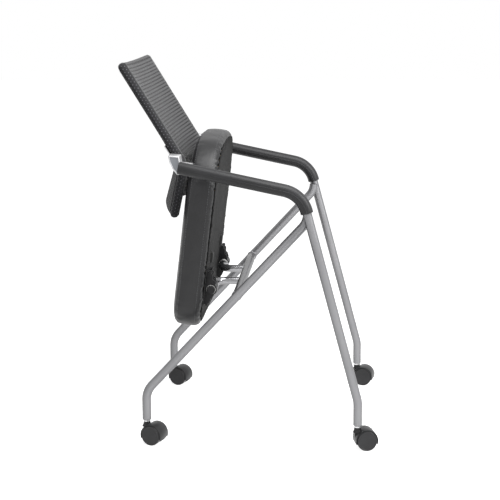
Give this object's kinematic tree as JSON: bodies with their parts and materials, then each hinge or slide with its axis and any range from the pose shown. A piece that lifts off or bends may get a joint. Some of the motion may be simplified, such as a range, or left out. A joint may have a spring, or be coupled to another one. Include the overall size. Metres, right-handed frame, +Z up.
{
  "type": "nesting_chair",
  "caption": "Nesting armchair on twin-wheel casters, silver bent-tube frame, flip-up black leather seat and ribbed knit back",
  "frame": {"origin": "On the floor under the middle of the chair's overall box, with the seat flipped up", "axes": "+X forward, the way the sitter faces; +Y to the sitter's left; +Z up"},
  "size_m": [0.6436, 0.6346, 0.9399],
  "materials": {
    "silver_tube": "satin silver-grey powder coat",
    "cast_bracket": "satin, cast",
    "bright_steel": "zinc plated",
    "arm_moulding": "fine grain",
    "ribbed_knit": "ribbed spacer knit",
    "dark_knit": "plain spacer knit",
    "plywood": "raw",
    "black_leather": "soft sheen, fine grain",
    "under_cloth": "non-woven",
    "white_nylon": "moulded",
    "black_rubber": "matt",
    "caster_nylon": "satin moulded",
    "black_plastic": "moulded"
  },
  "bodies": {
    "frame": {"front_leg_left": "silver_tube", "front_leg_right": "silver_tube", "rear_leg_left": "silver_tube", "rear_leg_right": "silver_tube", "crossbar": "silver_tube", "seat_rod_left": "silver_tube", "seat_rod_right": "silver_tube", "stop_pins": "bright_steel", "pivot_cap_left": "black_plastic", "pivot_cap_right": "black_plastic", "arm_sleeve_left": "arm_moulding", "arm_sleeve_right": "arm_moulding", "arm_end_plugs": "black_plastic", "arm_sleeve_screws": "bright_steel", "back_frame": "silver_tube", "back_front_knit": "ribbed_knit", "back_rear_cover": "dark_knit", "back_band_left": "dark_knit", "back_band_right": "dark_knit", "back_top_band": "ribbed_knit", "back_bottom_band": "dark_knit", "back_bracket_left": "cast_bracket", "back_bracket_right": "cast_bracket", "back_bracket_screws": "bright_steel", "stem_socket_front_left": "black_plastic", "stem_socket_front_right": "black_plastic", "stem_socket_rear_left": "black_plastic", "stem_socket_rear_right": "black_plastic"},
    "seat": {"seat_board": "plywood", "seat_cushion": "black_leather", "seat_under_cover": "under_cloth", "seat_bracket_left": "black_plastic", "seat_bracket_right": "black_plastic", "pivot_bush_left": "white_nylon", "pivot_bush_right": "white_nylon", "seat_bracket_screws": "bright_steel", "seat_rest_pads": "black_rubber"},
    "caster_front_left": {"caster_body_front_left": "caster_nylon", "caster_stem_front_left": "bright_steel", "caster_axle_front_left": "bright_steel"},
    "wheel_outer_front_left": {"wheel_outer_front_left": "caster_nylon"},
    "wheel_inner_front_left": {"wheel_inner_front_left": "caster_nylon"},
    "caster_front_right": {"caster_body_front_right": "caster_nylon", "caster_stem_front_right": "bright_steel", "caster_axle_front_right": "bright_steel"},
    "wheel_outer_front_right": {"wheel_outer_front_right": "caster_nylon"},
    "wheel_inner_front_right": {"wheel_inner_front_right": "caster_nylon"},
    "caster_rear_left": {"caster_body_rear_left": "caster_nylon", "caster_stem_rear_left": "bright_steel", "caster_axle_rear_left": "bright_steel"},
    "wheel_outer_rear_left": {"wheel_outer_rear_left": "caster_nylon"},
    "wheel_inner_rear_left": {"wheel_inner_rear_left": "caster_nylon"},
    "caster_rear_right": {"caster_body_rear_right": "caster_nylon", "caster_stem_rear_right": "bright_steel", "caster_axle_rear_right": "bright_steel"},
    "wheel_outer_rear_right": {"wheel_outer_rear_right": "caster_nylon"},
    "wheel_inner_rear_right": {"wheel_inner_rear_right": "caster_nylon"}
  },
  "joints": [
    {"name": "seat_flip", "type": "hinge", "parent": "frame", "child": "seat", "pos_m": [-0.0975, 0, 0.37535], "axis": [0, 1, 0], "range_deg": [0, 81]},
    {"name": "swivel_front_left", "type": "hinge", "parent": "frame", "child": "caster_front_left", "pos_m": [0.27049, 0.294, 0.061], "axis": [0, 0, 1], "continuous": true},
    {"name": "roll_outer_front_left", "type": "hinge", "parent": "caster_front_left", "child": "wheel_outer_front_left", "pos_m": [0.29006, 0.28984, 0.025], "axis": [0.2079, 0.9781, 0], "continuous": true},
    {"name": "roll_inner_front_left", "type": "hinge", "parent": "caster_front_left", "child": "wheel_inner_front_left", "pos_m": [0.29006, 0.28984, 0.025], "axis": [0.2079, 0.9781, 0], "continuous": true},
    {"name": "swivel_front_right", "type": "hinge", "parent": "frame", "child": "caster_front_right", "pos_m": [0.27049, -0.294, 0.061], "axis": [0, 0, 1], "continuous": true},
    {"name": "roll_outer_front_right", "type": "hinge", "parent": "caster_front_right", "child": "wheel_outer_front_right", "pos_m": [0.29006, -0.28984, 0.025], "axis": [-0.2079, 0.9781, 0], "continuous": true},
    {"name": "roll_inner_front_right", "type": "hinge", "parent": "caster_front_right", "child": "wheel_inner_front_right", "pos_m": [0.29006, -0.28984, 0.025], "axis": [-0.2079, 0.9781, 0], "continuous": true},
    {"name": "swivel_rear_left", "type": "hinge", "parent": "frame", "child": "caster_rear_left", "pos_m": [-0.2535, 0.2719, 0.061], "axis": [0, 0, 1], "continuous": true},
    {"name": "roll_outer_rear_left", "type": "hinge", "parent": "caster_rear_left", "child": "wheel_outer_rear_left", "pos_m": [-0.23471, 0.26506, 0.025], "axis": [0.342, 0.9397, 0], "continuous": true},
    {"name": "roll_inner_rear_left", "type": "hinge", "parent": "caster_rear_left", "child": "wheel_inner_rear_left", "pos_m": [-0.23471, 0.26506, 0.025], "axis": [0.342, 0.9397, 0], "continuous": true},
    {"name": "swivel_rear_right", "type": "hinge", "parent": "frame", "child": "caster_rear_right", "pos_m": [-0.2535, -0.2719, 0.061], "axis": [0, 0, 1], "continuous": true},
    {"name": "roll_outer_rear_right", "type": "hinge", "parent": "caster_rear_right", "child": "wheel_outer_rear_right", "pos_m": [-0.23471, -0.27874, 0.025], "axis": [0.342, 0.9397, 0], "continuous": true},
    {"name": "roll_inner_rear_right", "type": "hinge", "parent": "caster_rear_right", "child": "wheel_inner_rear_right", "pos_m": [-0.23471, -0.27874, 0.025], "axis": [0.342, 0.9397, 0], "continuous": true}
  ]
}
